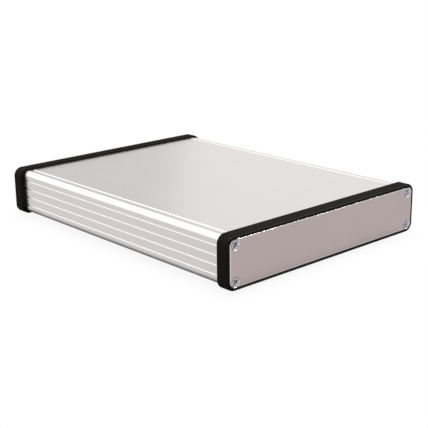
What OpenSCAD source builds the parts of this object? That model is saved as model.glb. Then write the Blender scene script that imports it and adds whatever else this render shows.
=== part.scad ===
// Extruded aluminium instrument enclosure.
// A one-piece extruded body with a slide-in belly plate, closed at each end by a
// flat panel that sits in a moulded bezel and is held by four countersunk screws.
// Frame: X runs across the width, Y along the extrusion, Z up. The origin is on the
// surface that the feet stand on, under the middle of the enclosure. The front panel
// faces -Y, and left and right are as seen from there.

/* [Extruded body] */
// Width of the extrusion
body_w = 165; // [120:1:220]
// Height of the extrusion
body_h = 30.5; // [28:0.5:60]
// Length of the extrusion
body_len = 220; // [100:10:300]
// Outer radius of the four long edges
body_edge_r = 4; // [3:0.5:4.5]
// Thickness of the top wall
top_wall = 1.8; // [1.5:0.1:2.5]
// Thickness of each side wall
side_wall = 2.3; // [2.3:0.1:2.8]

/* [Grooves on the outside] */
// Number of grooves along each side
side_grooves = 4; // [2:1:5]
// Width of a groove along a side
side_groove_w = 1; // [0.6:0.1:1.4]
// Plain height above the highest side groove and below the lowest
side_margin = 6.3; // [5.5:0.1:8]
// Width of the groove along each edge of the top
top_groove_w = 1.6; // [1:0.1:2]
// Distance of that groove's centre from the side of the body
top_groove_in = 7.4; // [6:0.1:12]
// Depth of every groove
groove_depth = 0.5; // [0.3:0.05:0.6]

/* [Circuit board guides] */
// Clear height of a board slot
slot_h = 1.9; // [1.7:0.1:2.2]
// Distance between the centres of neighbouring slots
slot_pitch = 5.5; // [5:0.1:8]
// Thickness of a guide rib
rib_t = 0.9; // [0.8:0.1:1.2]
// Distance from the side of the body to the tips of the ribs
rib_reach = 4.4; // [4:0.1:6]

/* [Screw ports] */
// Distance of a screw's axis from the side of the body
screw_in_x = 3.7; // [3.5:0.1:4.5]
// Distance of a screw's axis from the top or bottom of the body
screw_in_z = 4; // [3.8:0.1:4.5]
// Diameter of the bore that the screw cuts its thread in
port_d = 2.9; // [2.6:0.1:3.2]
// Thickness of the wall round that bore
port_wall = 1.65; // [1.3:0.05:1.8]
// Width of the slit along the port's inner side
port_slit = 1.5; // [1:0.1:1.8]

/* [Belly plate] */
// Thickness of the plate
plate_t = 1.8; // [1.5:0.1:2]
// Distance from the side of the body to the edge of the lip that carries the plate
lip_reach = 10; // [9:0.5:14]
// Height of the lips' inner edges
lip_h = 3; // [2.8:0.1:3.5]
// How far the plate's tongues run into the lips
tongue_w = 2.2; // [1.5:0.1:2.4]

/* [Bezels] */
// How far a bezel stands out past each side of the body
bezel_side = 2.7; // [2:0.1:3.5]
// How far a bezel stands above and below the body
bezel_rise = 1.35; // [1.2:0.05:2]
// Corner radius of a bezel seen from the end
bezel_corner_r = 6; // [5.5:0.5:7]
// Length of the skirt over the body
bezel_skirt = 5.8; // [4:0.1:10]
// Distance from the end of the body to the front of the bezel
bezel_front = 3.5; // [3.2:0.1:5]
// Radius of the bezel's outer front edge
bezel_edge_r = 1.5; // [0.8:0.1:1.7]
// Width of the lip round the panel
bezel_lip = 1.95; // [1.8:0.05:2.4]
// Distance from the outside of a bezel to the inner edge of the panel's seat
seat_reach = 4; // [3.6:0.1:5]
// Radius of the lugs that the screws pass through
lug_r = 4.2; // [3.8:0.1:5]

/* [End panels] */
// Thickness of a panel
panel_t = 1.5; // [1.4:0.1:2]
// How far a panel lies below the front of its bezel
panel_recess = 0.3; // [0.2:0.1:0.6]
// Width of the bright chamfer round a panel's face
panel_chamfer = 0.25; // [0.1:0.05:0.4]

/* [Screws] */
// Diameter of the countersunk head
head_d = 6; // [5.5:0.1:6.2]
// Diameter of the shank under its thread
core_d = 2.8; // [2.4:0.1:2.8]
// Length of the screw
screw_len = 12; // [8:1:16]
// Span of the cross recess
recess_span = 3.4; // [2.8:0.1:3.8]

/* [Feet] */
// Diameter of a foot
foot_d = 12.7; // [8:0.1:16]
// Height of a foot
foot_h = 3.5; // [2.5:0.1:6]
// Distance of a foot's centre from the side of the body
foot_in_x = 22; // [20:1:40]
// Distance of a foot's centre from the end of the body
foot_in_y = 25; // [15:1:45]

/* [Hidden] */
$fn = 64;
ENDS = ["front", "rear"];
HEIGHTS = ["lower", "upper"];
SIDES = ["left", "right"];
SCREWS = [for (e = ENDS, h = HEIGHTS, s = SIDES) str(e, "_screw_", h, "_", s)];
FEET = [for (e = ENDS, s = SIDES) str("foot_", e, "_", s)];

aluminium = [0.80, 0.79, 0.78];
panel_grey = [0.66, 0.63, 0.62];
black_plastic = [0.07, 0.07, 0.07];
bright_steel = [0.72, 0.71, 0.74];
foot_rubber = [0.12, 0.12, 0.12];

// Overshoot of a cut past the face it starts from
cut = 1;
// Gap left all round between pieces that slide into each other
fit_gap = 0.1;

boss_r = port_d / 2 + port_wall;
slot_unit = slot_h + 2 * rib_t;
slot_room = body_h - 2 * (screw_in_z + boss_r) - slot_unit;
slots = 1 + floor(slot_room / slot_pitch);
side_groove_pitch = (body_h - 2 * side_margin) / (side_grooves - 1);

tongue_t = plate_t / 2;
lip_seat = plate_t - tongue_t;
tongue_in = lip_reach - tongue_w;

bezel_w = body_w + 2 * bezel_side;
bezel_h = body_h + 2 * bezel_rise;
// Radius of the soft edge at the back of the skirt
skirt_edge_r = 0.4;
// Chamfer round the mouth that the panel drops into
mouth_chamfer = 0.25;
mouth_w = bezel_w - 2 * bezel_lip;
mouth_h = bezel_h - 2 * bezel_lip;
mouth_r = bezel_corner_r - bezel_lip;
seat_t = bezel_front - panel_recess - panel_t;
seat_corner_r = 2;
lug_hole_r = 2.1;

panel_face = seat_t + panel_t;
panel_w = mouth_w - 2 * fit_gap;
panel_h = mouth_h - 2 * fit_gap;
panel_r = mouth_r - fit_gap;
panel_hole_r = 1.9;

// Rim of the screw's head, and how deep the head's face lies below the panel's
head_rim = 0.2;
head_sink = 0.1;
head_top = panel_face - head_sink;
head_cone_top = head_top - head_rim;
sink_r = head_d / 2 + panel_face - head_cone_top;
recess_wing = 0.8;
recess_depth = 1.5;
tip_len = 1.2;

screw_x = body_w / 2 - screw_in_x;
screw_z = body_h / 2 - screw_in_z;
foot_x = body_w / 2 - foot_in_x;
foot_y = body_len / 2 - foot_in_y;
foot_edge_r = 1;

// Heights in the standing enclosure
body_z = foot_h;
mid_z = body_z + body_h / 2;

// ---- Shapes that several pieces share ----

module both_sides() {
    children();
    mirror([1, 0, 0]) children();
}

module rounded_rect(w, h, r) {
    square([w - 2 * r, h], center = true);
    square([w, h - 2 * r], center = true);
    for (x = [-1, 1], y = [-1, 1])
        translate([x * (w / 2 - r), y * (h / 2 - r)]) circle(r);
}

// A plate from z0 to z1 with rounded corners, whose edge has the section given as
// a child: x outwards from the corner's centre, up to the radius r, and y along Z
module edged_plate(w, h, r, z0, z1) {
    run_x = w - 2 * r;
    run_y = h - 2 * r;
    for (turn = [0 : 3]) {
        long = turn % 2 == 0 ? run_y : run_x;
        out = turn % 2 == 0 ? run_x : run_y;
        rotate([0, 0, 90 * turn]) {
            translate([out / 2, long / 2, 0]) rotate_extrude(angle = 90) children();
            translate([out / 2, long / 2, 0]) rotate([90, 0, 0])
                linear_extrude(long) children();
        }
    }
    translate([-run_x / 2, -run_y / 2, z0]) cube([run_x, run_y, z1 - z0]);
}

// Along the body: a profile drawn in X and Z, pushed along its whole length
module along_body() {
    translate([0, body_len / 2, body_z]) rotate([90, 0, 0])
        linear_extrude(body_len) children();
}

// At an end: X across, Y up from mid-height, Z outwards from the end of the body
module at_end(end) {
    rotate([0, 0, end == "front" ? 0 : 180])
        translate([0, -body_len / 2, mid_z]) rotate([90, 0, 0]) children();
}

module at_screws() {
    for (x = [-1, 1], y = [-1, 1]) translate([x * screw_x, y * screw_z, 0]) children();
}

// ---- Extruded body ----

module body_outline() {
    translate([0, body_h / 2]) rounded_rect(body_w, body_h, body_edge_r);
}

// A V groove whose mouth lies on the X axis
module v_groove(w) {
    slope = w / 2 / groove_depth;
    top = slope * (groove_depth + cut);
    polygon([[-top, cut], [0, -groove_depth], [top, cut]]);
}

module guide_ribs() {
    for (i = [0 : slots - 1], edge = [-1, 1]) {
        slot_z = body_h / 2 + (i - (slots - 1) / 2) * slot_pitch;
        z = slot_z + edge * (slot_h + rib_t) / 2;
        tip = body_w / 2 - rib_reach + rib_t / 2;
        translate([tip, z - rib_t / 2]) square([body_w / 2 - side_wall / 2 - tip, rib_t]);
        translate([tip, z]) circle(rib_t / 2);
    }
}

module port_places() {
    for (z = [screw_in_z, body_h - screw_in_z]) translate([screw_x, z]) children();
}

// The bore and, towards the middle of the cavity, the slit along it
module ports() {
    port_places() circle(port_d / 2);
    translate([screw_x, screw_in_z]) rotate(135) port_slot();
    translate([screw_x, body_h - screw_in_z]) rotate(-135) port_slot();
}

module port_slot() {
    translate([0, -port_slit / 2]) square([boss_r + cut, port_slit]);
}

module lip() {
    translate([body_w / 2 - lip_reach, 0]) square([lip_reach, lip_h]);
}

module tongue_slot() {
    translate([body_w / 2 - lip_reach - cut, lip_seat])
        square([tongue_w + fit_gap + cut, tongue_t + fit_gap]);
}

module outer_grooves() {
    for (i = [0 : side_grooves - 1])
        translate([body_w / 2, side_margin + i * side_groove_pitch])
            rotate(-90) v_groove(side_groove_w);
    translate([body_w / 2 - top_groove_in, body_h]) v_groove(top_groove_w);
}

module body_profile() {
    inner_w = body_w - 2 * side_wall;
    difference() {
        union() {
            difference() {
                body_outline();
                translate([-inner_w / 2, -cut]) square([inner_w, body_h - top_wall + cut]);
            }
            intersection() {
                body_outline();
                both_sides() {
                    port_places() circle(boss_r);
                    lip();
                }
            }
            both_sides() guide_ribs();
        }
        both_sides() {
            ports();
            tongue_slot();
            outer_grooves();
        }
    }
}

module extruded_body() {
    color(aluminium) along_body() body_profile();
}

// ---- Belly plate, which slides in from an end with its tongues in the lips ----

module plate_profile() {
    flush_w = body_w - 2 * (lip_reach + fit_gap);
    tongue_span = body_w - 2 * tongue_in;
    translate([-flush_w / 2, 0]) square([flush_w, plate_t]);
    translate([-tongue_span / 2, lip_seat]) square([tongue_span, tongue_t]);
}

module belly_plate() {
    color(aluminium) along_body() plate_profile();
}

// ---- Bezels ----

module bezel_section() {
    r = bezel_corner_r;
    depth = bezel_skirt + bezel_front;
    translate([0, -bezel_skirt]) {
        square([r - bezel_edge_r, depth]);
        square([r - skirt_edge_r, depth - bezel_edge_r]);
        translate([0, skirt_edge_r]) square([r, depth - skirt_edge_r - bezel_edge_r]);
        translate([r - skirt_edge_r, skirt_edge_r]) circle(skirt_edge_r);
        translate([r - bezel_edge_r, depth - bezel_edge_r]) circle(bezel_edge_r);
    }
}

module mouth_section() {
    polygon([[0, seat_t], [mouth_r, seat_t],
             [mouth_r, bezel_front - mouth_chamfer],
             [mouth_r + mouth_chamfer + cut, bezel_front + cut],
             [0, bezel_front + cut]]);
}

module seat_window() {
    difference() {
        rounded_rect(bezel_w - 2 * seat_reach, bezel_h - 2 * seat_reach, seat_corner_r);
        at_screws() circle(lug_r);
    }
}

module bezel() {
    difference() {
        edged_plate(bezel_w, bezel_h, bezel_corner_r, -bezel_skirt, bezel_front)
            bezel_section();
        translate([0, 0, -bezel_skirt - cut]) linear_extrude(bezel_skirt + cut)
            rounded_rect(body_w + 2 * fit_gap, body_h + 2 * fit_gap, body_edge_r + fit_gap);
        edged_plate(mouth_w, mouth_h, mouth_r, seat_t, bezel_front + cut) mouth_section();
        translate([0, 0, -cut]) linear_extrude(seat_t + 2 * cut) seat_window();
        at_screws() translate([0, 0, -cut]) cylinder(r = lug_hole_r, h = seat_t + 2 * cut);
    }
}

module front_bezel() {
    color(black_plastic) at_end("front") bezel();
}

module rear_bezel() {
    color(black_plastic) at_end("rear") bezel();
}

// ---- End panels ----

module panel_section() {
    polygon([[0, seat_t], [panel_r, seat_t], [panel_r, panel_face - panel_chamfer],
             [panel_r - panel_chamfer, panel_face], [0, panel_face]]);
}

// Clearance hole, and the countersink that the head's cone beds in
module panel_hole() {
    translate([0, 0, seat_t - cut]) cylinder(r = panel_hole_r, h = panel_t + 2 * cut);
    depth = sink_r - panel_hole_r;
    translate([0, 0, panel_face - depth])
        cylinder(r1 = panel_hole_r, r2 = sink_r + cut, h = depth + cut);
}

module panel() {
    difference() {
        edged_plate(panel_w, panel_h, panel_r, seat_t, panel_face) panel_section();
        at_screws() panel_hole();
    }
}

module front_panel() {
    color(panel_grey) at_end("front") panel();
}

module rear_panel() {
    color(panel_grey) at_end("rear") panel();
}

// ---- Screws ----

module screw_section() {
    head_r = head_d / 2;
    core_r = core_d / 2;
    bottom = head_top - screw_len;
    polygon([[0, bottom], [core_r / 2, bottom], [core_r, bottom + tip_len],
             [core_r, head_cone_top - (head_r - core_r)], [head_r, head_cone_top],
             [head_r, head_top], [0, head_top]]);
}

module cross_recess() {
    for (turn = [0, 90]) rotate([0, 0, turn])
        translate([-recess_span / 2, -recess_wing / 2, 0])
            cube([recess_span, recess_wing, recess_depth + cut]);
}

module screw() {
    difference() {
        rotate_extrude() screw_section();
        translate([0, 0, head_top - recess_depth]) cross_recess();
    }
}

// One screw by its end, its height and its side as seen from the front
module end_screw(end, height, side) {
    x = (side == "left" ? -1 : 1) * (end == "front" ? 1 : -1);
    y = height == "lower" ? -1 : 1;
    color(bright_steel) at_end(end) translate([x * screw_x, y * screw_z, 0]) screw();
}

// ---- Feet, stuck to the underside of the belly plate ----

module foot_section() {
    r = foot_d / 2;
    square([r - foot_edge_r, foot_h]);
    translate([0, foot_edge_r]) square([r, foot_h - foot_edge_r]);
    translate([r - foot_edge_r, foot_edge_r]) circle(foot_edge_r);
}

module foot(end, side) {
    x = (side == "left" ? -1 : 1) * foot_x;
    y = (end == "front" ? -1 : 1) * foot_y;
    color(foot_rubber) translate([x, y, 0]) rotate_extrude() foot_section();
}

extruded_body();
belly_plate();
front_bezel();
rear_bezel();
front_panel();
rear_panel();
for (e = ENDS, h = HEIGHTS, s = SIDES)
    end_screw(e, h, s);
for (e = ENDS, s = SIDES)
    foot(e, s);
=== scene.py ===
"""The looks of an extruded aluminium instrument enclosure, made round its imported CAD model.

All sizes are in metres, in the frame's own axes: X runs across the enclosure, Y along the
extrusion and Z up. The front panel faces -Y.
"""
from math import pi, radians, tau

import bpy
from mathutils import Matrix, Vector


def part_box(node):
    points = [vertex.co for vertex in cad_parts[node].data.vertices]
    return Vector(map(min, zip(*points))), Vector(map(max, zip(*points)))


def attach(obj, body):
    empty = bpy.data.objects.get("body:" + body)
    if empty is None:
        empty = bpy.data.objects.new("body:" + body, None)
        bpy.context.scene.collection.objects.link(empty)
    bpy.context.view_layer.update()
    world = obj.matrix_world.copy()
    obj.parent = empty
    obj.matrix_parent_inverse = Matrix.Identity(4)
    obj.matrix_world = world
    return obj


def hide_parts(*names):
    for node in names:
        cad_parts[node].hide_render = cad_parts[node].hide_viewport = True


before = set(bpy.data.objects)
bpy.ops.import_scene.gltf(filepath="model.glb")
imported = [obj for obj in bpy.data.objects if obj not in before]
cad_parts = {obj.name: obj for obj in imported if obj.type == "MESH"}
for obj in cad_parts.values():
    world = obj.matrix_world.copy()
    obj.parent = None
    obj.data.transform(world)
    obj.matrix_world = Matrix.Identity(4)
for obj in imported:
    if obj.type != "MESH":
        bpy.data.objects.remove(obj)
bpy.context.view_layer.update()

MM = 0.001

# Camera
CAMERA_PLACE = Vector((-0.4308, -0.4860, 0.2027))
CAMERA_AIM = Vector((-0.0141, -0.0237, 0.0151))
CAMERA_ROLL = radians(-0.667)
LENS = 81.1

# Studio
FLOOR_REACH = 12.0
DAYLIGHT = 0.45
CONTACT_SHADOW_REACH = 13 * MM
CONTACT_SHADOW_SEEN = 0.05

# Finishes, as linear colours
ALUMINIUM_DULL = (0.600, 0.572, 0.560, 1)
ALUMINIUM_CLEAR = (0.670, 0.642, 0.630, 1)
# The sheet colours are set darker than the bare metal, as a painted reflection of dark surroundings;
# the step between dull and clear is the sheet's own tone
SHEET_DULL = (0.420, 0.356, 0.350, 1)
SHEET_CLEAR = (0.480, 0.406, 0.400, 1)
# Bare cut metal, and also the colour of the painted highlight on the panels' rim
CUT_ALUMINIUM_AND_RIM_HIGHLIGHT = (0.780, 0.770, 0.760, 1)
BEZEL_BLACK = (0.002, 0.0018, 0.0015, 1)
BEZEL_SHEEN = (0.005, 0.004, 0.003, 1)
# The dark of the screws is painted shade and painted reflection, not the plating's own colour
PLATING_PAINTED_SHADE_AND_REFLECTION = (0.20, 0.19, 0.23, 1)
PLATED_BRIGHT = (0.72, 0.71, 0.75, 1)
RUBBER_BLACK = (0.012, 0.012, 0.012, 1)
RUBBER_DUSTY = (0.035, 0.034, 0.033, 1)

# The corners of the end panels, and a painted highlight on a rim all round them, which fades inwards
PANEL_CORNER_RADIUS = 3.95 * MM
RIM_HIGHLIGHT_WIDTH = 0.9 * MM
RIM_HIGHLIGHT_FADE = 0.36 * MM
RIM_HIGHLIGHT_STRENGTH = 0.5

# The screws' sizes that their boxes in the frame don't give
SCREW_RIM = 0.2 * MM
SCREW_CORE_RADIUS = 1.4 * MM
SCREW_TIP = 1.2 * MM
THREAD_PITCH = 1.1 * MM
THREAD_HEIGHT = 0.3 * MM
RECESS_SPAN = 4.0 * MM
RECESS_WING = 0.95 * MM
RECESS_DEPTH = 1.7 * MM

# The ring near a screw head's edge that is painted dark, as shade, by radius, and the spacing of the
# marks that turning left
PAINTED_SHADE_RING_START = 2.3 * MM
PAINTED_SHADE_RING_END = 2.9 * MM
TURNING_MARK = 0.06 * MM


class Field:
    """A node's output that takes part in Python arithmetic, which adds Math nodes."""

    def __init__(self, graph, socket):
        self.graph = graph
        self.socket = socket

    def out(self, name):
        """Another output of the same node."""
        return Field(self.graph, self.graph.pick(self.socket.node.outputs, name))

    def __add__(self, other):
        return self.graph.math("ADD", self, other)

    __radd__ = __add__

    def __sub__(self, other):
        return self.graph.math("SUBTRACT", self, other)

    def __rsub__(self, other):
        return self.graph.math("SUBTRACT", other, self)

    def __mul__(self, other):
        return self.graph.math("MULTIPLY", self, other)

    __rmul__ = __mul__

    def __truediv__(self, other):
        return self.graph.math("DIVIDE", self, other)

    def __abs__(self):
        return self.graph.math("ABSOLUTE", self)


class Graph:
    """A tree of shader or geometry nodes that is filled by calls of node()."""

    def __init__(self, tree):
        self.tree = tree

    @staticmethod
    def pick(sockets, key):
        """The socket at that index, or the one in use that has that name."""
        if isinstance(key, int):
            return sockets[key]
        return next(s for s in sockets if s.name == key and s.enabled)

    def node(self, kind, settings=None, inputs=None):
        """Adds a node, with its settings made first, and gives its first output."""
        made = self.tree.nodes.new(kind)
        for name, value in (settings or {}).items():
            setattr(made, name, value)
        for key, value in (inputs or {}).items():
            socket = self.pick(made.inputs, key)
            links = value if isinstance(value, list) else [value]
            for link in links:
                if isinstance(link, Field):
                    self.tree.links.new(link.socket, socket)
                else:
                    socket.default_value = link
        return Field(self, made.outputs[0]) if made.outputs else None

    def math(self, operation, *values):
        return self.node("ShaderNodeMath", {"operation": operation}, dict(enumerate(values)))

    def least(self, first, *others):
        for other in others:
            first = self.math("MINIMUM", first, other)
        return first

    def clamp(self, value, low, high):
        return self.node("ShaderNodeClamp", None, {"Value": value, "Min": low, "Max": high})

    def step(self, value, start, end):
        """Rises smoothly from 0 to 1 as the value goes from start to end."""
        settings = {"interpolation_type": "SMOOTHSTEP"}
        inputs = {"Value": value, "From Min": start, "From Max": end}
        return self.node("ShaderNodeMapRange", settings, inputs)


class Finish(Graph):
    """A material's tree, with the textures that the finishes share."""

    def __init__(self, name):
        self.material = bpy.data.materials.new(name)
        self.material.use_nodes = True
        super().__init__(self.material.node_tree)
        self.tree.nodes.clear()
        self.place = self.node("ShaderNodeTexCoord").out("Object")

    def stretched(self, scale):
        """Object coordinates, scaled on each axis."""
        return self.node("ShaderNodeMapping", None, {"Vector": self.place, "Scale": scale})

    def noise(self, size, vector=None, detail=2.0):
        """Noise from 0 to 1, whose features measure about size."""
        inputs = {"Vector": vector or self.place, "Scale": 1 / size, "Detail": detail}
        return self.node("ShaderNodeTexNoise", None, inputs)

    def blend(self, share, first, second):
        """A colour between two others."""
        inputs = {"Factor": share, "A": first, "B": second}
        return self.node("ShaderNodeMix", {"data_type": "RGBA"}, inputs).out("Result")

    def bump(self, height, distance):
        return self.node("ShaderNodeBump", None, {"Distance": distance, "Height": height})

    def facing(self, axis):
        """How squarely a face looks along an axis, either way: 1 is squarely."""
        normal = self.node("ShaderNodeNewGeometry").out("True Normal")
        return abs(self.node("ShaderNodeSeparateXYZ", None, {0: normal}).out(axis))

    def surface(self, inputs):
        """Ends the tree in one Principled BSDF, and gives the material."""
        shader = self.node("ShaderNodeBsdfPrincipled", None, inputs)
        self.node("ShaderNodeOutputMaterial", None, {"Surface": shader})
        return self.material


# ---- Finishes ----

def extruded_anodising():
    """Clear anodised extrusion: an even satin, with faint lines that the die drew along Y."""
    finish = Finish("extruded_anodising")
    drawn = finish.stretched((1, 0.004, 1))
    die_lines = finish.noise(0.3 * MM, drawn, 4)
    die_bands = finish.noise(7 * MM, drawn)
    etched_grain = finish.noise(0.15 * MM)
    cloud = finish.noise(40 * MM)
    tone = 0.35 * die_lines + 0.35 * die_bands + 0.3 * cloud
    height = 0.6 * die_lines + 0.4 * etched_grain
    return finish.surface({
        "Base Color": finish.blend(tone, ALUMINIUM_DULL, ALUMINIUM_CLEAR),
        "Metallic": 1.0,
        "Roughness": 0.20 + 0.07 * die_lines + 0.03 * etched_grain,
        "Normal": finish.bump(height, 0.006 * MM),
    })


def painted_rim_highlight(finish):
    """Where the painted highlight lies: 1 on a narrow rim all round the end panels, and 0 inside it.
    """
    low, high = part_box("front_panel")
    straight_x = (high.x - low.x) / 2 - PANEL_CORNER_RADIUS
    straight_z = (high.z - low.z) / 2 - PANEL_CORNER_RADIUS
    middle = (high.z + low.z) / 2
    axes = finish.node("ShaderNodeSeparateXYZ", None, {0: finish.place})
    across = finish.math("MAXIMUM", abs(axes.out("X")) - straight_x, 0)
    upwards = finish.math("MAXIMUM", abs(axes.out("Z") - middle) - straight_z, 0)
    reach = finish.math("SQRT", across * across + upwards * upwards)
    inner = PANEL_CORNER_RADIUS - RIM_HIGHLIGHT_WIDTH
    return finish.step(reach, inner, inner + RIM_HIGHLIGHT_FADE)


def anodised_sheet():
    """Satin anodised sheet, whose chamfers and countersinks were cut bright afterwards, and whose rim
    carries a painted highlight.
    """
    finish = Finish("anodised_sheet")
    rolled = finish.stretched((0.03, 1, 1))
    grain = finish.noise(0.25 * MM, rolled, 3)
    etched_grain = finish.noise(0.12 * MM)
    cloud = finish.noise(30 * MM)
    slanted = 1 - finish.step(finish.facing("Y"), 0.8, 0.95)
    # Chamfers and countersinks are bare cut metal; the panels' rim is a painted highlight, given the
    # cut metal's colour and gloss
    cut = finish.math("MAXIMUM", slanted, RIM_HIGHLIGHT_STRENGTH * painted_rim_highlight(finish))
    # The sheet colours hold a painted reflection that darkens the panels
    sheet = finish.blend(0.5 * grain + 0.5 * cloud, SHEET_DULL, SHEET_CLEAR)
    return finish.surface({
        "Base Color": finish.blend(cut, sheet, CUT_ALUMINIUM_AND_RIM_HIGHLIGHT),
        "Metallic": 1.0,
        "Roughness": 0.34 + 0.08 * grain - 0.16 * cut,
        "Normal": finish.bump(0.5 * grain + 0.5 * etched_grain, 0.005 * MM),
    })


def moulded_plastic():
    """Black bezel plastic, matt but for a thin soft sheen, with a spark-eroded mould's grain."""
    finish = Finish("moulded_plastic")
    mould_grain = finish.noise(0.35 * MM, detail=3)
    flow = finish.noise(18 * MM)
    return finish.surface({
        "Base Color": finish.blend(0.6 * flow + 0.4 * mould_grain, BEZEL_BLACK, BEZEL_SHEEN),
        "Roughness": 0.62 + 0.1 * flow + 0.06 * mould_grain,
        "Specular IOR Level": 0.0,
        "Coat Weight": 0.07 + 0.02 * flow,
        "Coat Roughness": 0.36,
        "Normal": finish.bump(mould_grain, 0.012 * MM),
    })


def plated_steel():
    """Bright plating over the turned head and rolled thread of a screw, with painted shade in a ring
    near the head's edge and dark patches of painted reflection.
    """
    finish = Finish("plated_steel")
    settings = {"attribute_type": "GEOMETRY", "attribute_name": "turned_radius"}
    radius = finish.node("ShaderNodeAttribute", settings).out("Fac")
    rings = finish.math("PINGPONG", radius, TURNING_MARK) / TURNING_MARK
    mottle = finish.noise(0.6 * MM, detail=3)
    # Painted shade: the plating is darkened in a ring near the head's edge
    free_of_painted_shade = 1 - 0.8 * finish.step(radius, PAINTED_SHADE_RING_START, PAINTED_SHADE_RING_END)
    # Painted reflection: dark patches by noise stand for dark surroundings reflected in the plating
    bright = free_of_painted_shade * (0.8 * finish.step(mottle, 0.3, 0.7) + 0.2 * rings)
    return finish.surface({
        "Base Color": finish.blend(bright, PLATING_PAINTED_SHADE_AND_REFLECTION, PLATED_BRIGHT),
        "Metallic": 1.0,
        "Roughness": 0.14 + 0.1 * mottle,
        "Normal": finish.bump(rings, 0.004 * MM),
    })


def foot_rubber():
    """Black rubber, with a dull bloom and a pebbled skin."""
    finish = Finish("foot_rubber")
    pebbles = finish.noise(0.5 * MM, detail=3)
    bloom = finish.noise(4 * MM)
    return finish.surface({
        "Base Color": finish.blend(0.7 * bloom + 0.3 * pebbles, RUBBER_BLACK, RUBBER_DUSTY),
        "Roughness": 0.68 + 0.2 * pebbles,
        "Specular IOR Level": 0.3,
        "Normal": finish.bump(pebbles, 0.03 * MM),
    })


# ---- Screws ----

def screw_profile(graph, given, swept):
    """Bends a flat grid into one screw: its head's face at Z = 0 and its tip at -Length."""
    head, core, length = given["Head Radius"], given["Core Radius"], given["Length"]
    half_core = core / 2
    run = swept.out("Y") * (head + length + half_core)
    depth = graph.clamp(run - head, 0, length)
    cone = graph.clamp(head + given["Head Rim"] - depth, core, head)
    tip = half_core + half_core * (length - depth) / given["Tip Length"]
    turns = depth / given["Thread Pitch"] + swept.out("X")
    ridge = 1 - 3 * abs(graph.math("FRACT", turns) - 0.5)
    threaded = graph.step(depth, head, 1.15 * head)
    crest = given["Thread Height"] * threaded * graph.math("MAXIMUM", ridge, 0)
    radius = graph.least(cone + crest, tip + crest, run, head + length + half_core - run)
    angle = tau * swept.out("X")
    place = graph.node("ShaderNodeCombineXYZ", None, {
        "X": radius * graph.math("COSINE", angle),
        "Y": radius * graph.math("SINE", angle),
        "Z": 0 - depth,
    })
    return place, radius


def cross_cutter(graph, given):
    """Two tapered wings at right angles and the cone between them, which cut the recess."""
    depth = given["Recess Depth"]
    size = {"X": given["Recess Span"], "Y": given["Recess Wing"], "Z": 2 * depth}
    block = graph.node("GeometryNodeMeshCube", None, {
        "Size": graph.node("ShaderNodeCombineXYZ", None, size),
    })
    position = graph.node("GeometryNodeInputPosition")
    axes = graph.node("ShaderNodeSeparateXYZ", None, {0: position})
    rise = axes.out("Z") / depth
    wing = graph.node("GeometryNodeSetPosition", None, {
        "Geometry": block,
        "Position": graph.node("ShaderNodeCombineXYZ", None, {
            "X": axes.out("X") * (1 + 0.5 * rise),
            "Y": axes.out("Y") * (1 + 0.2 * rise),
            "Z": axes.out("Z"),
        }),
    })
    crossing = graph.node("GeometryNodeTransform", None, {
        "Geometry": wing,
        "Rotation": (0, 0, pi / 2),
    })
    funnel = graph.node("GeometryNodeMeshCone", None, {
        "Vertices": 24,
        "Radius Top": given["Recess Span"] * 0.42,
        "Radius Bottom": given["Recess Span"] * 0.12,
        "Depth": 2 * depth,
    })
    centred = graph.node("GeometryNodeTransform", None, {
        "Geometry": funnel,
        "Translation": graph.node("ShaderNodeCombineXYZ", None, {"Z": 0 - depth}),
    })
    return [wing, crossing, centred]


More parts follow.
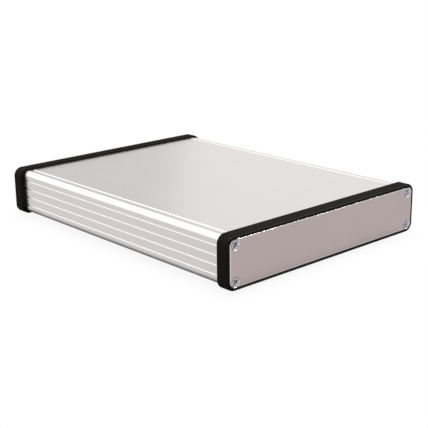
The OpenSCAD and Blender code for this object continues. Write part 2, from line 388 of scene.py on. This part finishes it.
def screw_tree():
    """Geometry nodes that put a countersunk screw on every point, facing out of its end."""
    tree = bpy.data.node_groups.new("countersunk_screws", "GeometryNodeTree")
    sizes = ("Head Radius", "Head Rim", "Core Radius", "Length", "Tip Length",
             "Thread Pitch", "Thread Height", "Recess Span", "Recess Wing", "Recess Depth")
    add_socket = tree.interface.new_socket
    add_socket("Seats", in_out="INPUT", socket_type="NodeSocketGeometry")
    for name in sizes:
        add_socket(name, in_out="INPUT", socket_type="NodeSocketFloat")
    add_socket("Seed", in_out="INPUT", socket_type="NodeSocketInt")
    add_socket("Plating", in_out="INPUT", socket_type="NodeSocketMaterial")
    add_socket("Screws", in_out="OUTPUT", socket_type="NodeSocketGeometry")

    graph = Graph(tree)
    group_input = graph.node("NodeGroupInput")
    names = ("Seats", *sizes, "Seed", "Plating")
    given = {name: group_input.out(name) for name in names}

    grid = graph.node("GeometryNodeMeshGrid", None, {
        "Size X": 1.0,
        "Size Y": 1.0,
        "Vertices X": 37,
        "Vertices Y": 151,
    })
    swept = graph.node("ShaderNodeSeparateXYZ", None, {0: grid.out("UV Map")})
    place, radius = screw_profile(graph, given, swept)
    marked = graph.node("GeometryNodeStoreNamedAttribute", None, {
        "Geometry": grid,
        "Name": "turned_radius",
        "Value": radius,
    })
    turned = graph.node("GeometryNodeSetPosition", None, {
        "Geometry": marked,
        "Position": place,
    })
    closed = graph.node("GeometryNodeMergeByDistance", None, {
        "Geometry": turned,
        "Distance": 0.002 * MM,
    })
    outward = graph.node("GeometryNodeFlipFaces", None, {0: closed})
    recessed = graph.node("GeometryNodeMeshBoolean", {"operation": "DIFFERENCE", "solver": "EXACT"}, {
        "Mesh 1": outward,
        "Mesh 2": cross_cutter(graph, given),
    })
    smooth = graph.node("GeometryNodeSetShadeSmooth", None, {0: recessed})
    crease = graph.node("GeometryNodeInputMeshEdgeAngle").out("Unsigned Angle")
    screw = graph.node("GeometryNodeSetShadeSmooth", {"domain": "EDGE"}, {
        0: smooth,
        "Shade Smooth": graph.math("LESS_THAN", crease, radians(32)),
    })

    position = graph.node("GeometryNodeInputPosition")
    along = graph.node("ShaderNodeSeparateXYZ", None, {0: position}).out("Y")
    outwards = graph.node("ShaderNodeCombineXYZ", None, {"Y": graph.math("SIGN", along)})
    facing = graph.node("FunctionNodeAlignRotationToVector", {"axis": "Z"}, {"Vector": outwards})
    placed = graph.node("GeometryNodeInstanceOnPoints", None, {
        "Points": given["Seats"],
        "Instance": screw,
        "Rotation": facing,
    })
    tightened = graph.node("FunctionNodeRandomValue", {"data_type": "FLOAT"}, {
        "Max": pi / 2,
        "Seed": given["Seed"],
    }).out("Value")
    driven = graph.node("GeometryNodeRotateInstances", None, {
        "Instances": placed,
        "Rotation": graph.node("ShaderNodeCombineXYZ", None, {"Z": tightened}),
    })
    real = graph.node("GeometryNodeRealizeInstances", None, {"Geometry": driven})
    plated = graph.node("GeometryNodeSetMaterial", None, {
        "Geometry": real,
        "Material": given["Plating"],
    })
    graph.node("NodeGroupOutput", None, {"Screws": plated})
    return tree


def head_centre(node):
    """Where the face of a screw's head lies, and the screw's head radius and length."""
    low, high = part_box(node)
    centre = (low + high) / 2
    centre.y = low.y if centre.y < 0 else high.y
    return centre, (high.x - low.x) / 2, high.y - low.y


def end_screws(plating):
    """The eight screws of both ends as one piece, which stands for the CAD's plain ones."""
    nodes = sorted(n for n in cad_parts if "_screw_" in n)
    seats = [head_centre(n) for n in nodes]
    carrier_mesh = bpy.data.meshes.new("screw_seats")
    carrier_mesh.from_pydata([centre for centre, _, _ in seats], [], [])
    carrier = bpy.data.objects.new("screw_seats", carrier_mesh)
    bpy.context.scene.collection.objects.link(carrier)

    tree = screw_tree()
    modifier = carrier.modifiers.new("screws", "NODES")
    modifier.node_group = tree
    values = {
        "Head Radius": seats[0][1],
        "Head Rim": SCREW_RIM,
        "Core Radius": SCREW_CORE_RADIUS,
        "Length": seats[0][2],
        "Tip Length": SCREW_TIP,
        "Thread Pitch": THREAD_PITCH,
        "Thread Height": THREAD_HEIGHT,
        "Recess Span": RECESS_SPAN,
        "Recess Wing": RECESS_WING,
        "Recess Depth": RECESS_DEPTH,
        "Seed": 5,
        "Plating": plating,
    }
    for socket in tree.interface.items_tree:
        if socket.name in values:
            modifier[socket.identifier] = values[socket.name]

    evaluated = carrier.evaluated_get(bpy.context.evaluated_depsgraph_get())
    mesh = bpy.data.meshes.new_from_object(evaluated)
    mesh.name = "end_screws"
    bpy.data.objects.remove(carrier)
    piece = bpy.data.objects.new("end_screws", mesh)
    bpy.context.scene.collection.objects.link(piece)
    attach(piece, "root")
    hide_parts(*nodes)
    return piece


# ---- Studio ----

def seen_directly(graph):
    """1 for rays from the camera and for those that gloss or glass sends on, else 0."""
    path = graph.node("ShaderNodeLightPath")
    seen = path.out("Is Camera Ray") + path.out("Is Glossy Ray") + path.out("Is Transmission Ray")
    return graph.least(seen, 1)


def white_floor():
    """A white floor that keeps the soft shadow where the enclosure stands."""
    finish = Finish("white_floor")
    shadow = 1 - finish.node("ShaderNodeAmbientOcclusion", {"samples": 16}, {
        "Distance": CONTACT_SHADOW_REACH,
    }).out("AO")
    from_camera = finish.node("ShaderNodeLightPath").out("Is Camera Ray")
    depth = 1 - (1 - CONTACT_SHADOW_SEEN) * from_camera
    kept = 1 - shadow * depth
    glow = finish.node("ShaderNodeEmission", None, {"Strength": kept * kept})
    matt = finish.node("ShaderNodeBsdfDiffuse", None, {"Color": (0.8, 0.8, 0.8, 1)})
    shown = finish.node("ShaderNodeMixShader", None, {0: seen_directly(finish), 1: matt, 2: glow})
    finish.node("ShaderNodeOutputMaterial", None, {"Surface": shown})

    half = FLOOR_REACH / 2
    mesh = bpy.data.meshes.new("floor")
    corners = [(-half, -half, 0), (half, -half, 0), (half, half, 0), (-half, half, 0)]
    mesh.from_pydata(corners, [], [(0, 1, 2, 3)])
    mesh.materials.append(finish.material)
    floor = bpy.data.objects.new("floor", mesh)
    bpy.context.scene.collection.objects.link(floor)


def daylight():
    """A white surround for what is seen directly, and a plain level of light for the rest."""
    world = bpy.data.worlds.new("daylight")
    world.use_nodes = True
    bpy.context.scene.world = world
    graph = Graph(world.node_tree)
    graph.tree.nodes.clear()
    strength = DAYLIGHT + (1 - DAYLIGHT) * seen_directly(graph)
    light = graph.node("ShaderNodeBackground", None, {"Strength": strength})
    graph.node("ShaderNodeOutputWorld", None, {"Surface": light})


def softbox(name, towards, distance, width, height, radiance):
    """A rectangular lamp that looks at the middle of the enclosure.

    What reflects it shows its radiance on top of the white surround behind it.
    """
    lamp = bpy.data.lights.new(name, "AREA")
    lamp.shape = "RECTANGLE"
    lamp.size = width
    lamp.size_y = height
    lamp.energy = radiance * pi * width * height
    box = bpy.data.objects.new(name, lamp)
    direction = Vector(towards).normalized()
    box.location = direction * distance
    box.rotation_mode = "QUATERNION"
    box.rotation_quaternion = direction.to_track_quat("Z", "Y")
    box.visible_camera = False
    bpy.context.scene.collection.objects.link(box)


def studio_camera():
    camera = bpy.data.cameras.new("camera")
    camera.lens = LENS
    camera.sensor_width = 36
    camera.clip_start = 0.01
    camera.clip_end = 100
    stand = bpy.data.objects.new("camera", camera)
    turn = (CAMERA_AIM - CAMERA_PLACE).to_track_quat("-Z", "Y").to_matrix().to_4x4()
    stand.matrix_world = (Matrix.Translation(CAMERA_PLACE) @ turn
                          @ Matrix.Rotation(CAMERA_ROLL, 4, "Z"))
    bpy.context.scene.collection.objects.link(stand)
    bpy.context.scene.camera = stand


# ---- The scene ----

def dress(finish, *nodes):
    """Gives CAD nodes a finish in place of their plain material."""
    for name in nodes:
        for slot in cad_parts[name].material_slots:
            slot.material = finish


studio_camera()
bpy.context.scene.view_settings.view_transform = "Standard"
white_floor()
daylight()
softbox("back_softbox", (-0.35, 0.70, 0.60), 0.9, 1.3, 1.1, 1.0)
softbox("side_softbox", (0.830, 0.441, 0.342), 3.0, 2.4, 1.7, 0.27)
softbox("top_key", (-0.20, -0.06, 0.97), 0.8, 0.28, 0.28, 55.0)
softbox("front_fill", (0.63, -0.40, 0.66), 0.9, 0.5, 0.12, 40.0)

dress(extruded_anodising(), "extruded_body", "belly_plate")
dress(anodised_sheet(), "front_panel", "rear_panel")
dress(moulded_plastic(), "front_bezel", "rear_bezel")
dress(foot_rubber(), *(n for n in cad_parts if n.startswith("foot_")))
end_screws(plated_steel())
